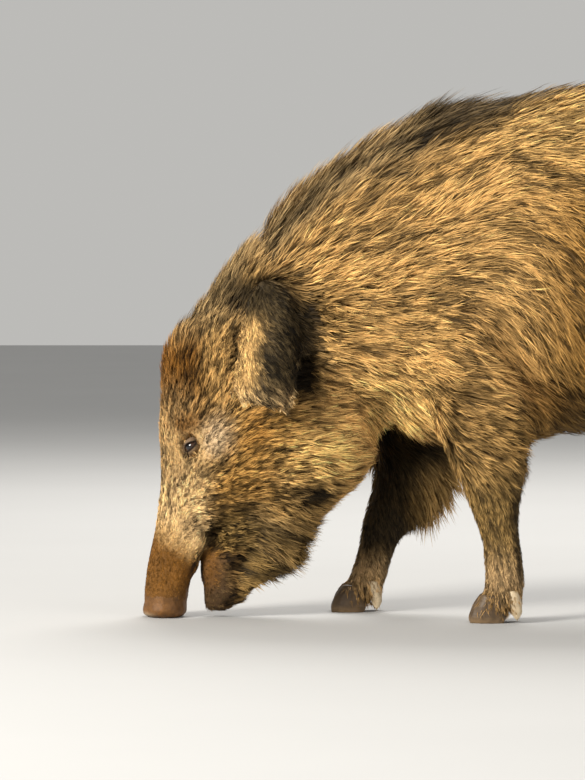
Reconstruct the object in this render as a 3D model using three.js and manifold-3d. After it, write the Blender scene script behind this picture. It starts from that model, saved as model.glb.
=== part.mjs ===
// A wild boar, life size: it stands with its head down and its snout on the ground, in its winter coat.
// Millimetres, +Z up. The head is towards -Y and the animal's left side is at +X. The origin is on the
// floor, under the middle of the animal. Every outline here is the coat's own, out to the hair tips.
import * as THREE from "three";
import { mergeVertices } from "three/addons/utils/BufferGeometryUtils.js";
import Module from "manifold-3d";

const wasm = await Module();
wasm.setup();

// ---------------------------------------------------------------- driving dimensions
const clearance = 0.3; // between neighbours that touch
const withersTop = 684; // height of the coat over the forelegs
const chestBottom = 222; // height of the coat under the breastbone
const ribHalf = 171; // from the middle plane to the coat over the ribs
const rumpEnd = 672; // behind the near forefoot, which is at y = 0
const foreheadLine = -444; // the forehead and the bridge of the nose are nearly upright here
const headHalf = 104; // the same over the cheeks
const legSpread = 86; // from the middle plane to each foot's middle
const strideFore = 176; // how far the right forefoot is ahead of the left one
const strideHind = 95; // how far the right hind foot is ahead of the left one
const footTop = 34; // height of the coronet, where hair gives way to horn
const legCutFore = 212; // height at which the forelegs leave the trunk
const legCutHind = 288;
const mouthCorner = 112; // height of the corner of the mouth
const earLength = 156;
const eyeRadius = 11.5;
const hindFoot = 567; // the left hind foot's middle, behind the near forefoot
const snoutThickness = 14;

// ---------------------------------------------------------------- lofts
const { clamp, degToRad, lerp } = THREE.MathUtils;

// The value of a field at a place along a list of stations, on a smooth curve through them all.
function fieldAt(stations, field, place) {
  const last = stations.length - 1;
  const i = Math.min(Math.floor(place), last - 1);
  const f = place - i;
  const [a, b, c, d] = [i - 1, i, i + 1, i + 2].map((k) => stations[clamp(k, 0, last)][field]);
  const [slopeB, slopeC] = [(c - a) / 2, (d - b) / 2];
  const f2 = f * f;
  const f3 = f2 * f;
  return (
    (2 * f3 - 3 * f2 + 1) * b + (f3 - 2 * f2 + f) * slopeB + (3 * f2 - 2 * f3) * c + (f3 - f2) * slopeC
  );
}

// One closed outline round the body. Its plane leans by tilt degrees: 0 is upright and 90 is level,
// with the back of the animal then at the front. peak and keel are the roundness of its two halves:
// 2 is an ellipse, less is pointed and more is square.
function outline(station, sides, grow) {
  const tilt = degToRad(station.tilt);
  const dorsal = new THREE.Vector3(0, -Math.sin(tilt), Math.cos(tilt));
  const centre = new THREE.Vector3(station.x, station.y, station.z);
  return Array.from({ length: sides }, (_, k) => {
    const angle = (2 * Math.PI * k) / sides;
    const [c, s] = [Math.cos(angle), Math.sin(angle)];
    const power = 2 / (s >= 0 ? station.peak : station.keel);
    const across = Math.sign(c) * Math.abs(c) ** power * (station.wide + grow);
    const reach = (s >= 0 ? station.up : station.down) + grow;
    const rise = Math.sign(s) * Math.abs(s) ** power * reach;
    return centre.clone().addScaledVector(dorsal, rise).add(new THREE.Vector3(across, 0, 0));
  });
}

// A closed skin over a list of rings with as many points each, with a fan over each end.
function skinOver(rings) {
  const sides = rings[0].length;
  const middle = (ring) => ring.reduce((sum, p) => sum.add(p), new THREE.Vector3()).divideScalar(sides);
  const points = [...rings.flat(), middle(rings[0]), middle(rings.at(-1))];
  const [firstHub, lastHub] = [points.length - 2, points.length - 1];
  const lastRing = (rings.length - 1) * sides;
  const faces = [];
  for (let k = 0; k < sides; k++) {
    const next = (k + 1) % sides;
    for (let r = 0; r < rings.length - 1; r++) {
      const [a, b] = [r * sides, (r + 1) * sides];
      faces.push(a + k, a + next, b + next, a + k, b + next, b + k);
    }
    faces.push(firstHub, next, k, lastHub, lastRing + k, lastRing + next);
  }
  return new THREE.BufferGeometry().setFromPoints(points).setIndex(faces);
}

// A body part through its stations, which may leave out what their part's defaults say.
function loft(stations, { steps, sides, defaults = {} }, grow = 0) {
  const full = stations.map((s) => ({ x: 0, tilt: 0, peak: 2, keel: 2, ...defaults, ...s }));
  const fields = Object.keys(full[0]);
  const rings = Array.from({ length: steps + 1 }, (_, k) => {
    const place = ((full.length - 1) * k) / steps;
    const station = Object.fromEntries(fields.map((f) => [f, fieldAt(full, f, place)]));
    return outline(station, sides, grow);
  });
  return solid(skinOver(rings));
}

// ---------------------------------------------------------------- solids
// A closed geometry as a manifold-3d solid, turned to face outwards.
function solid(geometry) {
  const bare = geometry.clone();
  bare.deleteAttribute("normal");
  bare.deleteAttribute("uv");
  const merged = mergeVertices(bare, 1e-4);
  const build = (triVerts) =>
    new wasm.Manifold(
      new wasm.Mesh({ numProp: 3, vertProperties: merged.attributes.position.array, triVerts }),
    );
  const made = build(new Uint32Array(merged.index.array));
  return made.volume() > 0 ? made : build(new Uint32Array(merged.index.array).reverse());
}

// A box given by its lowest and highest corners, turned about the X axis at its middle.
function block(low, high, turn = 0) {
  const size = high.map((h, k) => h - low[k]);
  const centre = high.map((h, k) => (h + low[k]) / 2);
  const geometry = new THREE.BoxGeometry(...size).rotateX(degToRad(turn)).translate(...centre);
  return solid(geometry);
}

function ball(radius, centre, stretch = [1, 1, 1]) {
  return solid(new THREE.SphereGeometry(radius, 12, 8).scale(...stretch).translate(...centre));
}

const joined = (solids) => solids.reduce((sum, s) => sum.add(s));

// Everything on one side of a leaning plane through the middle plane's points (y, z) from and to,
// as a big block: side 1 is above and behind the line from the lower point to the upper one.
function halfSpace(from, to, side) {
  const far = 2000;
  const direction = new THREE.Vector2(to[0] - from[0], to[1] - from[1]).normalize();
  const away = new THREE.Vector2(-direction.y, direction.x).multiplyScalar(side * (far / 2 + clearance / 2));
  const middle = [(from[0] + to[0]) / 2 + away.x, (from[1] + to[1]) / 2 + away.y];
  const geometry = new THREE.BoxGeometry(far, far, far)
    .rotateX(Math.atan2(direction.y, direction.x))
    .translate(0, ...middle);
  return solid(geometry);
}

const below = (z) => block([-1000, -1500, -100], [1000, 1500, z - clearance / 2]);
const above = (z) => block([-1000, -1500, z + clearance / 2], [1000, 1500, 1500]);

// ---------------------------------------------------------------- trunk, neck and head
// Stations of the trunk from the chest to the rump: the top and bottom of the coat, and the height at
// which it is widest. The mane makes the top a ridge over the shoulders.
function trunk() {
  const stations = [
    { y: -182, top: 534, bottom: 282, mid: 394, wide: 88, peak: 2.0 },
    { y: -140, top: withersTop - 38, bottom: 240, mid: 402, wide: 128, peak: 1.85 },
    { y: -80, top: withersTop - 14, bottom: chestBottom, mid: 414, wide: 152, peak: 1.75 },
    { y: 0, top: withersTop - 4, bottom: chestBottom, mid: 419, wide: 164, peak: 1.75 },
    { y: 90, top: withersTop + 11, bottom: chestBottom + 8, mid: 424, wide: ribHalf - 3, peak: 1.8 },
    { y: 190, top: withersTop + 12, bottom: chestBottom + 10, mid: 424, wide: ribHalf, peak: 1.85 },
    { y: 290, top: withersTop + 2, bottom: chestBottom + 14, mid: 426, wide: ribHalf, peak: 1.9 },
    { y: 385, top: withersTop - 20, bottom: chestBottom + 32, mid: 430, wide: ribHalf - 9, peak: 1.95 },
    { y: 470, top: withersTop - 50, bottom: chestBottom + 62, mid: 434, wide: ribHalf - 17, peak: 2 },
    { y: 545, top: withersTop - 88, bottom: chestBottom + 92, mid: 436, wide: ribHalf - 25, peak: 2 },
    { y: 605, top: withersTop - 132, bottom: chestBottom + 112, mid: 430, wide: ribHalf - 41, peak: 2.1 },
    { y: 648, top: withersTop - 184, bottom: chestBottom + 140, mid: 424, wide: ribHalf - 69, peak: 2.1 },
    { y: rumpEnd, top: withersTop - 232, bottom: chestBottom + 172, mid: 418, wide: 58, peak: 2 },
  ].map(({ top, bottom, mid, ...rest }) => ({ ...rest, z: mid, up: top - mid, down: mid - bottom }));
  return loft(stations, { steps: 20, sides: 24 });
}

// The neck from inside the trunk to inside the head: each ring leans a little more than the last.
function neck() {
  const stations = [
    { y: -50, z: 434, tilt: 12, up: 236, down: 190, wide: 148, peak: 1.75 },
    { y: -138, z: 419, tilt: 27, up: 196, down: 180, wide: 142, peak: 1.7 },
    { y: -208, z: 386, tilt: 43, up: 164, down: 176, wide: 130, peak: 1.7 },
    { y: -264, z: 346, tilt: 58, up: 147, down: 140, wide: 117, peak: 1.8 },
    { y: -304, z: 300, tilt: 72, up: 134, down: 128, wide: 107, peak: 2 },
    { y: -322, z: 256, tilt: 84, up: 116, down: 120, wide: 96, peak: 2 },
  ];
  return loft(stations, { steps: 8, sides: 20 });
}

// The skull, cheeks and muzzle as level slices from the crown down to the snout disc. front and back
// are the slice's ends, and mid is where it is widest.
function skull() {
  const stations = [
    { z: 392, front: foreheadLine + 31, mid: -330, back: -240, wide: 58 },
    { z: 362, front: foreheadLine + 5, mid: -328, back: -200, wide: 84 },
    { z: 319, front: foreheadLine - 3, mid: -318, back: -172, wide: 98, peak: 1.9 },
    { z: 269, front: foreheadLine - 3, mid: -305, back: -160, wide: headHalf, peak: 1.8, keel: 2.3 },
    { z: 228, front: foreheadLine - 1, mid: -300, back: -160, wide: headHalf - 3, peak: 1.75, keel: 2.4 },
    { z: 186, front: foreheadLine + 1, mid: -318, back: -176, wide: headHalf - 17, peak: 1.85, keel: 2.4 },
    { z: 149, front: foreheadLine - 2, mid: -345, back: -232, wide: headHalf - 40, peak: 2.1, keel: 2.4 },
    { z: 118, front: foreheadLine - 5, mid: -395, back: -362, wide: 45, peak: 2.3, keel: 2.4 },
    { z: 88, front: foreheadLine - 11, mid: -418, back: -389, wide: 37, peak: 2.4, keel: 2.6 },
    { z: 58, front: foreheadLine - 17, mid: -428, back: -399, wide: 34, peak: 2.3, keel: 2.6 },
    { z: 32, front: foreheadLine - 19, mid: -434, back: -405, wide: 36, peak: 2.2, keel: 2.4 },
    { z: 10, front: foreheadLine - 20, mid: -436, back: -408, wide: 38, peak: 2.1, keel: 2.2 },
  ].map(({ front, mid, back, ...rest }) => ({ ...rest, y: mid, up: mid - front, down: back - mid }));
  return loft(stations, { steps: 21, sides: 20, defaults: { tilt: 90 } });
}

// The lower jaw with its beard, as level slices from the cheek down to the chin.
function jaw(grow = 0) {
  const stations = [
    { z: 219, front: -350, mid: -262, back: -166, wide: 84 },
    { z: 184, front: -368, mid: -272, back: -172, wide: 78 },
    { z: 154, front: -376, mid: -290, back: -200, wide: 68 },
    { z: 128, front: -381, mid: -302, back: -232, wide: 57 },
    { z: 106, front: -383, mid: -316, back: -246, wide: 46 },
    { z: 82, front: -385, mid: -326, back: -256, wide: 38, peak: 2.3 },
    { z: 62, front: -386, mid: -336, back: -268, wide: 34, peak: 2.3 },
    { z: 44, front: -386, mid: -352, back: -306, wide: 30, peak: 2.3 },
    { z: 28, front: -386, mid: -360, back: -328, wide: 28, peak: 2.3 },
    { z: 15, front: -385, mid: -363, back: -338, wide: 24, peak: 2.1 },
    { z: 7, front: -380, mid: -366, back: -352, wide: 14 },
  ].map(({ front, mid, back, ...rest }) => ({ ...rest, y: mid, up: mid - front, down: back - mid }));
  return loft(stations, { steps: 12, sides: 16, defaults: { tilt: 90 } }, grow);
}

// ---------------------------------------------------------------- legs
// A foreleg from the shoulder to the pastern. Level slices: up is its front half and down its back
// half. ahead is how far the foot stands ahead of the left forefoot, and each slice moves forward by
// its own share of that, because the leg swings from the shoulder. shaggy is how much of the fringe
// of long hair behind the forearm shows, and a leg without it has a fuller shin.
function foreleg(side, ahead, shaggy, grow = 0) {
  const stations = [
    { z: 430, y: -30, lateral: 96, up: 62, down: 66, wide: 52, share: 0.08, fringe: 0 },
    { z: 370, y: -34, lateral: 110, up: 82, down: 80, wide: 56, share: 0.2, fringe: 0 },
    { z: 310, y: -31, lateral: 106, up: 82, down: 76, wide: 53, share: 0.34, fringe: 4 },
    { z: 254, y: -27, lateral: 99, up: 71, down: 68, wide: 46, share: 0.47, fringe: 12 },
    { z: 210, y: -21, lateral: 93, up: 53, down: 54, wide: 38, share: 0.56, fringe: 24 },
    { z: 174, y: -14, lateral: 89, up: 39, down: 40, wide: 31, share: 0.65, fringe: 44, shin: 3 },
    { z: 146, y: -8, lateral: legSpread + 1, up: 31, down: 31, wide: 27, share: 0.75, fringe: 48, shin: 5 },
    { z: 124, y: -5, lateral: legSpread, up: 26, down: 27, wide: 24, share: 0.84, fringe: 40, shin: 5 },
    { z: 106, y: -1, lateral: legSpread, up: 24, down: 25, wide: 22, share: 0.89, fringe: 18, shin: 5 },
    { z: 84, y: 2, lateral: legSpread, up: 24, down: 25, wide: 22, share: 0.93, fringe: 5, shin: 5 },
    { z: 56, y: 3, lateral: legSpread, up: 25, down: 27, wide: 25, share: 0.97, fringe: 0, shin: 3 },
    { z: 36, y: 0, lateral: legSpread, up: 27, down: 28, wide: 29, share: 0.99, fringe: 0 },
    { z: 22, y: -4, lateral: legSpread, up: 24, down: 26, wide: 27, share: 1, fringe: 0 },
  ].map(({ lateral, share, fringe, shin = 0, ...rest }) => ({
    ...rest,
    x: side * lateral,
    y: rest.y - share * ahead,
    up: rest.up + (1 - shaggy) * shin,
    down: rest.down + shaggy * fringe,
  }));
  return loft(stations, { steps: 15, sides: 12, defaults: { tilt: 90 } }, grow);
}

// A hind leg from the haunch to the pastern: the hock is its rearmost point.
function hindleg(side, ahead, grow = 0) {
  const stations = [
    { z: 470, y: 556, lateral: 74, up: 64, down: 60, wide: 44, share: 0.02 },
    { z: 420, y: 552, lateral: 88, up: 104, down: 90, wide: 60, share: 0.1 },
    { z: 372, y: 548, lateral: 93, up: 112, down: 96, wide: 63, share: 0.25 },
    { z: 330, y: 547, lateral: 93, up: 100, down: 88, wide: 57, share: 0.4 },
    { z: 286, y: 553, lateral: 91, up: 76, down: 70, wide: 46, share: 0.55 },
    { z: 246, y: 568, lateral: 89, up: 51, down: 50, wide: 35, share: 0.67 },
    { z: 210, y: 582, lateral: 88, up: 35, down: 42, wide: 28, share: 0.76 },
    { z: 178, y: 587, lateral: 87, up: 30, down: 35, wide: 25, share: 0.82 },
    { z: 138, y: 583, lateral: legSpread, up: 25, down: 27, wide: 22, share: 0.88 },
    { z: 95, y: 577, lateral: legSpread, up: 23, down: 25, wide: 21, share: 0.93 },
    { z: 58, y: 573, lateral: legSpread, up: 25, down: 27, wide: 24, share: 0.97 },
    { z: 36, y: hindFoot, lateral: legSpread, up: 27, down: 28, wide: 28, share: 0.99 },
    { z: 22, y: hindFoot - 4, lateral: legSpread, up: 24, down: 26, wide: 26, share: 1 },
  ].map(({ lateral, share, ...rest }) => ({ ...rest, x: side * lateral, y: rest.y - share * ahead }));
  return loft(stations, { steps: 15, sides: 12, defaults: { tilt: 90 } }, grow);
}

// ---------------------------------------------------------------- horn, ears, eyes and tail
// A main hoof: level slices from the sole up, longer in front, with a flat sole at the floor.
function hoof(x, y, grow = 0) {
  const stations = [
    { z: 0, y: y - 1, up: 27, down: 19, wide: 12, peak: 1.5, keel: 2.2 },
    { z: 7, y, up: 28, down: 22, wide: 13.5, peak: 1.6, keel: 2.2 },
    { z: 22, y: y + 2, up: 24, down: 20, wide: 13, peak: 1.8, keel: 2.1 },
    { z: footTop + 2, y: y + 6, up: 18, down: 15, wide: 10.5, peak: 2, keel: 2 },
  ];
  return loft(stations, { steps: 3, sides: 10, defaults: { x, tilt: 90 } }, grow);
}

// A dewclaw: a small blunt horn behind the foot that points down and clears the floor.
function dewclaw(x, y, grow = 0) {
  const stations = [
    { z: 4, y: y + 2, up: 3, down: 3, wide: 3 },
    { z: 14, y: y + 2, up: 8, down: 8, wide: 7 },
    { z: 28, y: y - 1, up: 9, down: 10, wide: 9 },
    { z: 42, y: y - 4, up: 7, down: 8, wide: 7 },
  ];
  return loft(stations, { steps: 3, sides: 8, defaults: { x, tilt: 90 } }, grow);
}

// An ear: a cupped leaf. Each ring runs over its convex back and returns inside the cup.
function ear(side, grow = 0) {
  const root = new THREE.Vector3(95, -290, 420);
  const tip = new THREE.Vector3(0.46, -0.15, -1).normalize().multiplyScalar(earLength);
  const along = tip.clone().normalize();
  const outwards = new THREE.Vector3(0.9, 0.12, 0.4);
  outwards.addScaledVector(along, -outwards.dot(along)).normalize();
  const across = new THREE.Vector3().crossVectors(outwards, along).normalize();
  const stations = [
    { reach: -0.14, wide: 29, cup: 8, thick: 12 },
    { reach: 0.08, wide: 39, cup: 17, thick: 13 },
    { reach: 0.35, wide: 43, cup: 21, thick: 12 },
    { reach: 0.65, wide: 42, cup: 20, thick: 11 },
    { reach: 0.86, wide: 42, cup: 15, thick: 9 },
    { reach: 0.96, wide: 36, cup: 10, thick: 8 },
    { reach: 1.0, wide: 25, cup: 6, thick: 6 },
  ];
  const [steps, arc, droop] = [8, 6, 12];
  const rings = Array.from({ length: steps + 1 }, (_, r) => {
    const place = ((stations.length - 1) * r) / steps;
    const at = (field) => fieldAt(stations, field, place);
    const centre = root
      .clone()
      .addScaledVector(tip, at("reach"))
      .addScaledVector(outwards, -droop * at("reach") ** 2);
    const rim = (share) => (at("thick") * (1 - 0.6 * share ** 2)) / 2;
    const point = (share, inside) =>
      centre
        .clone()
        .addScaledVector(across, share * (at("wide") + grow))
        .addScaledVector(outwards, at("cup") * (1 - share ** 2) + (inside ? -1 : 1) * (rim(share) + grow));
    const shares = Array.from({ length: arc + 1 }, (_, k) => lerp(-1, 1, k / arc));
    return [...shares.map((s) => point(s, false)), ...shares.reverse().map((s) => point(s, true))];
  });
  rings.flat().forEach((p) => (p.x *= side));
  return solid(skinOver(rings));
}

// An eye sits in a shallow hollow of the face.
const eye = (side, grow = 0) => ball(eyeRadius + grow, [side * 52.5, -399, 224]);
const eyeHollow = (side) => ball(20, [side * 74.5, -415, 225]);

// The tail hangs down behind the haunches and ends in a tassel.
function tail(grow = 0) {
  const stations = [
    { y: rumpEnd - 44, z: 548, tilt: -20, up: 17, down: 17, wide: 18 },
    { y: rumpEnd - 8, z: 536, tilt: -45, up: 17, down: 17, wide: 17 },
    { y: rumpEnd + 10, z: 498, tilt: -80, up: 14, down: 14, wide: 14 },
    { y: rumpEnd + 15, z: 440, tilt: -90, up: 12, down: 12, wide: 12 },
    { y: rumpEnd + 12, z: 386, tilt: -94, up: 11, down: 11, wide: 12 },
    { y: rumpEnd + 8, z: 342, tilt: -94, up: 14, down: 14, wide: 16 },
    { y: rumpEnd + 6, z: 300, tilt: -92, up: 5, down: 5, wide: 5 },
  ];
  return loft(stations, { steps: 9, sides: 8 }, grow);
}

// The snout disc: a gristly oval plate that stands on the floor, with its two nostrils.
function snoutDisc() {
  const stations = [
    { z: 0, y: -437, up: 22, down: 22, wide: 30 },
    { z: 2.5, y: -437, up: 27, down: 27, wide: 36 },
    { z: 9, y: -436.5, up: 28.5, down: 29, wide: 39 },
    { z: snoutThickness - clearance, y: -436, up: 28, down: 28, wide: 38 },
  ];
  const disc = loft(stations, { steps: 3, sides: 20, defaults: { tilt: 90, peak: 2.1, keel: 2.2 } });
  return disc.subtract(nostrils());
}

function nostrils() {
  const [radius, depth, apart] = [5.5, 24, 15];
  const hole = (side) =>
    solid(
      new THREE.CylinderGeometry(radius, radius, depth, 14)
        .scale(0.85, 1, 1.2)
        .rotateX(Math.PI / 2)
        .translate(side * apart, -441, depth / 2 - 2),
    );
  return hole(1).add(hole(-1));
}

// ---------------------------------------------------------------- assembly
const coat = new THREE.MeshStandardMaterial({ color: 0x8a6a45, roughness: 0.9, metalness: 0 });
const darkCoat = new THREE.MeshStandardMaterial({ color: 0x3a2f28, roughness: 0.9, metalness: 0 });
const snoutSkin = new THREE.MeshStandardMaterial({ color: 0x6b4a3a, roughness: 0.6, metalness: 0 });
const horn = new THREE.MeshStandardMaterial({ color: 0x8d7c68, roughness: 0.5, metalness: 0 });
const eyeball = new THREE.MeshStandardMaterial({ color: 0x1c120c, roughness: 0.1, metalness: 0 });

const boar = new THREE.Group();

function add(name, made, material) {
  const { vertProperties, numProp, numVert, triVerts } = made.getMesh();
  const positions = new Float32Array(numVert * 3);
  for (let i = 0; i < numVert; i++) {
    positions.set(vertProperties.subarray(i * numProp, i * numProp + 3), i * 3);
  }
  const geometry = new THREE.BufferGeometry()
    .setAttribute("position", new THREE.BufferAttribute(positions, 3))
    .setIndex(new THREE.BufferAttribute(new Uint32Array(triVerts), 1));
  geometry.computeVertexNormals();
  const mesh = new THREE.Mesh(geometry, material);
  mesh.name = name;
  boar.add(mesh);
}

const legs = [
  { name: "fore_left", side: 1, foot: 0, cut: legCutFore, shape: (g) => foreleg(1, 0, 0, g) },
  {
    name: "fore_right",
    side: -1,
    foot: -strideFore,
    cut: legCutFore,
    shape: (g) => foreleg(-1, strideFore, 1, g),
  },
  { name: "hind_left", side: 1, foot: hindFoot, cut: legCutHind, shape: (g) => hindleg(1, 0, g) },
  {
    name: "hind_right",
    side: -1,
    foot: hindFoot - strideHind,
    cut: legCutHind,
    shape: (g) => hindleg(-1, strideHind, g),
  },
];

for (const { name, side, foot, cut, shape } of legs) {
  const horns = [
    { part: "hoof", where: "outer", shape: hoof, x: 15, y: foot - 17 },
    { part: "hoof", where: "inner", shape: hoof, x: -15, y: foot - 17 },
    { part: "dewclaw", where: "outer", shape: dewclaw, x: 20, y: foot + 15 },
    { part: "dewclaw", where: "inner", shape: dewclaw, x: -20, y: foot + 15 },
  ].map((h) => ({ ...h, x: side * (legSpread + h.x) }));
  const sockets = joined(horns.map((h) => h.shape(h.x, h.y, clearance)));
  add("leg_" + name, shape(0).intersect(below(cut)).subtract(sockets), coat);
  horns.forEach((h) => add([h.part, name, h.where].join("_"), h.shape(h.x, h.y), horn));
}

// The head, neck and trunk are one body, parted by two thin cuts. The tops of the legs stay with the
// trunk, so the head and the neck are cut clear of them.
const sides = [
  { name: "left", side: 1 },
  { name: "right", side: -1 },
];
const thighs = (grow) => joined(legs.map(({ shape, cut }) => shape(grow).intersect(above(cut - grow))));
const sockets = joined([
  tail(clearance),
  nostrils(),
  jaw(clearance).intersect(below(mouthCorner + clearance)),
  ...legs.map(({ shape, cut }) => shape(clearance).intersect(below(cut + clearance))),
  ...sides.flatMap(({ side }) => [ear(side, clearance), eye(side, clearance), eyeHollow(side)]),
]);
const body = joined([trunk(), neck(), skull(), jaw().intersect(above(mouthCorner))]).subtract(sockets);
const nape = [-346, 482];
const throat = [-150, 230];
const withers = [-176, 646];
const brisket = [-128, 200];
const foreBody = body.subtract(thighs(clearance));
const behindHead = halfSpace(throat, nape, -1);
add("head", foreBody.intersect(halfSpace(throat, nape, 1)).intersect(above(snoutThickness)), coat);
add("neck", foreBody.intersect(behindHead).intersect(halfSpace(brisket, withers, 1)), coat);
const backBody = body.intersect(behindHead).intersect(halfSpace(brisket, withers, -1));
add("trunk", backBody.add(thighs(0).subtract(sockets)), coat);
add("lower_jaw", jaw().intersect(below(mouthCorner)), coat);
add("snout_disc", snoutDisc(), snoutSkin);
add("tail", tail(), darkCoat);
for (const { name, side } of sides) {
  add("ear_" + name, ear(side), darkCoat);
  add("eye_" + name, eye(side), eyeball);
}

// The origin goes under the middle of the whole animal.
const box = new THREE.Box3().setFromObject(boar);
boar.position.set(0, -(box.min.y + box.max.y) / 2, -box.min.z);

export default boar;
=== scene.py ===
"""A life-size wild boar in its winter coat, with its head down and its snout on the ground.

One skin stands for all the flesh of the CAD model and lies inside it by the coat's depth. The coat
grows on that skin in locks of thin, tapered blades. Places are written as millimetres behind the
left forefoot (y), above the floor (z) and to the animal's left (x), as in the CAD.
"""
import math
from types import SimpleNamespace

import bmesh
import bpy
import numpy as np
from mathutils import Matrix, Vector
from mathutils.bvhtree import BVHTree


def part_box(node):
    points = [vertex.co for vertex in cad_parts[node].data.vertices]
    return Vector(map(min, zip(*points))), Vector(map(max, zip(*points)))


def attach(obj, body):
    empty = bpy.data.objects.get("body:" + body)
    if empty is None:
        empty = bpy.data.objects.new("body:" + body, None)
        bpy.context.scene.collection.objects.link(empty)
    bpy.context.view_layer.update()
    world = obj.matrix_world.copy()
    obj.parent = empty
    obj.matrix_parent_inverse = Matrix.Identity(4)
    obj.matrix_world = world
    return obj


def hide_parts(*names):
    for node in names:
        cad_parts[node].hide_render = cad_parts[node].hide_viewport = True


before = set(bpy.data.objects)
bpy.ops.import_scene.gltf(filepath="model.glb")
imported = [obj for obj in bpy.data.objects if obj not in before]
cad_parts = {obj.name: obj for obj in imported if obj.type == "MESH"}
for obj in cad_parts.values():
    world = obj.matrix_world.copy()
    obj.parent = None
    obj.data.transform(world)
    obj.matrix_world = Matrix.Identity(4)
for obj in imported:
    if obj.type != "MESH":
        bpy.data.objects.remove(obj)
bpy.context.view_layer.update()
rng = np.random.default_rng(1944)

MM = 0.001
SNOUT_TO_FOOT = 465 * MM  # the snout's front edge is that far ahead of the left forefoot
FOOT_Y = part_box("snout_disc")[0].y + SNOUT_TO_FOOT
SIDES = {"left": 1, "right": -1}
LEGS = ["fore_left", "fore_right", "hind_left", "hind_right"]
HORNS = [f"{kind}_{leg}_{at}" for leg in LEGS for kind in ("hoof", "dewclaw") for at in ("outer", "inner")]
FLESH = ["head", "neck", "trunk", "lower_jaw", "snout_disc", "tail", "ear_left", "ear_right"]
FLESH += [f"leg_{leg}" for leg in LEGS]
EYES = ["eye_left", "eye_right"]


# ---------- numbers and fields
def place(y, z, x=0):
    """The point that many millimetres behind the left forefoot, up and to the left."""
    return np.array([x * MM, FOOT_Y + y * MM, z * MM])


def ramp(value, low, high):
    """0 below low and 1 above high, or the other way round if high is less, with soft ends."""
    t = np.clip((value - low) / (high - low), 0, 1)
    return t * t * (3 - 2 * t)


def unit(vectors):
    return vectors / np.maximum(np.linalg.norm(vectors, axis=-1, keepdims=True), 1e-12)


def noise(points, size, seed=0):
    """Smooth noise from -1 to 1 at points, with bumps about size metres across."""
    cell = points / size
    base = np.floor(cell).astype(np.int64)
    f = cell - base
    f = f * f * (3 - 2 * f)
    total = np.zeros(len(points))
    for corner in np.ndindex(2, 2, 2):
        key = base + corner
        mixed = (key[:, 0] * 73856093) ^ (key[:, 1] * 19349663) ^ (key[:, 2] * 83492791) ^ (seed * 9176263)
        mixed = ((mixed ^ (mixed >> 13)) * 1274126177) & 0xFFFFFFFF
        mixed = ((mixed ^ (mixed >> 16)) * 2246822519) & 0xFFFFFFFF
        weight = np.prod(np.where(corner, f, 1 - f), axis=1)
        total += weight * (mixed / 0x7FFFFFFF - 1)
    return total


class Surface:
    """A closed triangle mesh as arrays, with each vertex's neighbours."""

    def __init__(self, co, tris):
        self.co = co
        self.tris = tris
        pairs = np.sort(tris[:, [0, 1, 1, 2, 2, 0]].reshape(-1, 2), axis=1)
        pairs = np.unique(pairs, axis=0)
        ends = np.concatenate([pairs, pairs[:, ::-1]])
        ends = ends[np.argsort(ends[:, 0], kind="stable")]
        self.neighbours = ends[:, 1]
        self.starts = np.searchsorted(ends[:, 0], np.arange(len(co)))
        self.counts = np.diff(np.append(self.starts, len(ends)))

    def average(self, values):
        """The mean of each vertex's neighbours."""
        total = np.add.reduceat(values[self.neighbours], self.starts, axis=0)
        return total / (self.counts if values.ndim == 1 else self.counts[:, None])

    def spread(self, values, times, share=0.5):
        """values after so many rounds of blending each vertex with its neighbours."""
        for _ in range(times):
            values = values + share * (self.average(values) - values)
        return values

    def relax(self, times, share):
        """Smooths the shape. share is how far each vertex moves, one number or an array."""
        for _ in range(times):
            self.co = self.co + share * (self.average(self.co) - self.co)

    def corners(self):
        return self.co[self.tris]

    def face_vectors(self):
        """Each triangle's normal, twice its area long."""
        a, b, c = self.corners().transpose(1, 0, 2)
        return np.cross(b - a, c - a)

    def normals(self):
        total = np.zeros_like(self.co)
        faces = self.face_vectors()
        for k in range(3):
            np.add.at(total, self.tris[:, k], faces)
        return unit(total)


def new_object(name, co, faces):
    """An object from a vertex array and arrays of faces, one for each number of corners."""
    mesh = bpy.data.meshes.new(name)
    sizes = np.concatenate([np.full(len(f), f.shape[1]) for f in faces])
    loops = np.concatenate([f.ravel() for f in faces])
    mesh.vertices.add(len(co))
    mesh.vertices.foreach_set("co", co.astype(np.float32).ravel())
    mesh.loops.add(len(loops))
    mesh.loops.foreach_set("vertex_index", loops.astype(np.int32))
    mesh.polygons.add(len(sizes))
    mesh.polygons.foreach_set("loop_start", (np.cumsum(sizes) - sizes).astype(np.int32))
    mesh.polygons.foreach_set("use_smooth", np.full(len(sizes), True))
    mesh.update(calc_edges=True)
    mesh.validate()
    obj = bpy.data.objects.new(name, mesh)
    bpy.context.scene.collection.objects.link(obj)
    return obj


def painted(name, co, faces, colours, finish):
    """An object of this material, which reads the colour stored at each vertex."""
    obj = new_object(name, co, faces)
    attribute = obj.data.attributes.new("Col", "FLOAT_COLOR", "POINT")
    rgba = np.hstack([np.clip(colours, 0, 1), np.ones((len(colours), 1))])
    attribute.data.foreach_set("color", rgba.astype(np.float32).ravel())
    obj.data.materials.append(finish)
    return obj


def mesh_arrays(mesh):
    """The vertices and triangles of a Blender mesh."""
    co = np.empty(len(mesh.vertices) * 3, np.float32)
    mesh.vertices.foreach_get("co", co)
    mesh.calc_loop_triangles()
    tris = np.empty(len(mesh.loop_triangles) * 3, np.int32)
    mesh.loop_triangles.foreach_get("vertices", tris)
    return co.reshape(-1, 3).astype(float), tris.reshape(-1, 3)


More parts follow.
